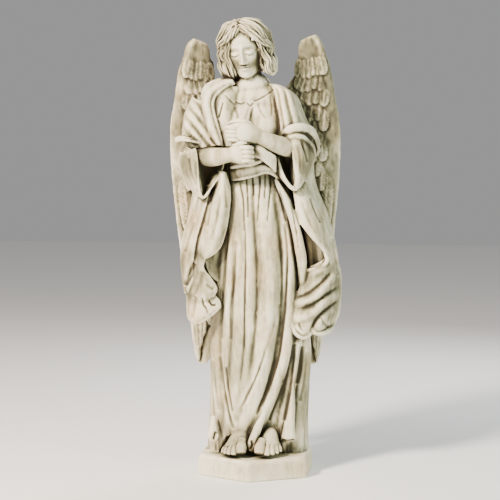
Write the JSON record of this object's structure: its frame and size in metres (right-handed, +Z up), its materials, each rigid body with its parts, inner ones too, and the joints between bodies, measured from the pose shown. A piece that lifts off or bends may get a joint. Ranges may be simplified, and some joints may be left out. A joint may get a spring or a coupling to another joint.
{
  "type": "angel statue",
  "caption": "Standing angel cast in one with its low hexagonal plinth: folded wings, forearms crossed at the breast, high-waisted gown and a mantle hanging from both elbows.",
  "frame": {"origin": "centre of the plinth's flat underside, on the ground", "axes": "+Z up through the figure; -Y is the front, towards the plinth's front corner and the way the breast faces; +X is the figure's left"},
  "size_m": [0.3931, 0.28, 1.0091],
  "materials": {
    "cast_stone": "matte"
  },
  "bodies": {
    "root": {"angel_statue": "cast_stone"}
  },
  "joints": []
}
